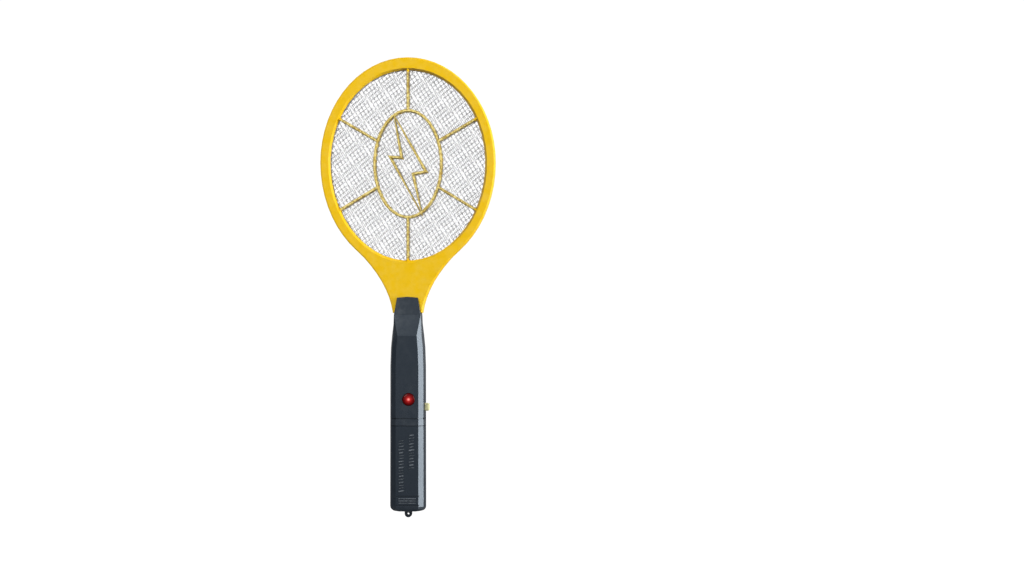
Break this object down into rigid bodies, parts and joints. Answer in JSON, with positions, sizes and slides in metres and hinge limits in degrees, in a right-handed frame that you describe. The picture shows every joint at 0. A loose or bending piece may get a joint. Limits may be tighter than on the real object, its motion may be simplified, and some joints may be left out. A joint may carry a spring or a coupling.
{
  "type": "electric fly swatter",
  "caption": "Electric fly swatter: oval three-layer wire grid in a grilled frame on a faceted handle with a sliding battery cover, push button and hanging loop.",
  "frame": {"origin": "below the middle of the handle's end, level with the lowest point of the hanging loop, half way between the front and rear faces", "axes": "+Z from the handle to the head along the length, -Y out of the front face with the indicator lens, +X towards the side button"},
  "size_m": [0.1696, 0.0279, 0.4455],
  "materials": {
    "frame_yellow": "satin moulded plastic",
    "handle_black": "satin moulded plastic",
    "cover_black": "satin moulded plastic",
    "grid_metal": "bright expanded metal",
    "inner_grid_metal": "bright expanded metal",
    "spacer_white": "matte",
    "screw_steel": "zinc plated",
    "contact_nickel": "nickel plated",
    "cell_can": "printed sleeve over a steel can",
    "board_green": "solder mask",
    "ferrite": "dull ferrite",
    "winding_tape": "yellow tape",
    "capacitor_red": "dipped epoxy",
    "disc_blue": "dipped epoxy",
    "epoxy_black": "moulded epoxy",
    "diode_black": "moulded epoxy",
    "resistor_tan": "lacquered",
    "led_red": "clear tinted",
    "lens_red": "clear tinted",
    "button_yellow": "satin moulded plastic",
    "switch_body": "matte",
    "plunger_white": "matte",
    "wire_red": "soft insulation",
    "wire_black": "soft insulation",
    "wire_white": "soft insulation"
  },
  "bodies": {
    "swatter_body": {"front_frame": "frame_yellow", "rear_frame": "frame_yellow", "front_shell": "handle_black", "rear_shell": "handle_black", "front_mesh": "grid_metal", "rear_mesh": "grid_metal", "high_voltage_mesh": "inner_grid_metal", "front_spacer": "spacer_white", "rear_spacer": "spacer_white", "head_screw_1": "screw_steel", "head_screw_2": "screw_steel", "head_screw_3": "screw_steel", "head_screw_4": "screw_steel", "head_screw_5": "screw_steel", "head_screw_6": "screw_steel", "head_screw_7": "screw_steel", "neck_screw_1": "screw_steel", "neck_screw_2": "screw_steel", "handle_screw_1": "screw_steel", "handle_screw_2": "screw_steel", "handle_screw_3": "screw_steel", "board_screw_1": "screw_steel", "board_screw_2": "screw_steel", "bottom_bridge": "contact_nickel", "top_plate_positive": "contact_nickel", "top_plate_negative": "contact_nickel", "bottom_spring": "contact_nickel", "top_spring": "contact_nickel", "cell_1": "cell_can", "cell_2": "cell_can", "circuit_board": "board_green", "transformer_core": "ferrite", "transformer_winding": "winding_tape", "high_voltage_capacitor": "capacitor_red", "smoothing_capacitor": "disc_blue", "transistor": "epoxy_black", "diode_1": "diode_black", "diode_2": "diode_black", "diode_3": "diode_black", "resistor_1": "resistor_tan", "resistor_2": "resistor_tan", "indicator_led": "led_red", "indicator_lens": "lens_red", "switch_body": "switch_body", "battery_wire_positive": "wire_red", "battery_wire_negative": "wire_black", "ground_lead_front": "wire_black", "ground_lead_rear": "wire_black", "high_voltage_lead": "wire_white"},
    "cover_body": {"battery_cover": "cover_black"},
    "button_body": {"side_button": "button_yellow", "switch_plunger": "plunger_white"}
  },
  "joints": [
    {"name": "cover_slide", "type": "slide", "parent": "swatter_body", "child": "cover_body", "axis": [0, 0, -1], "range_m": [0, 0.088]},
    {"name": "button_press", "type": "slide", "parent": "swatter_body", "child": "button_body", "axis": [-1, 0, 0], "range_m": [0, 0.0015]}
  ]
}
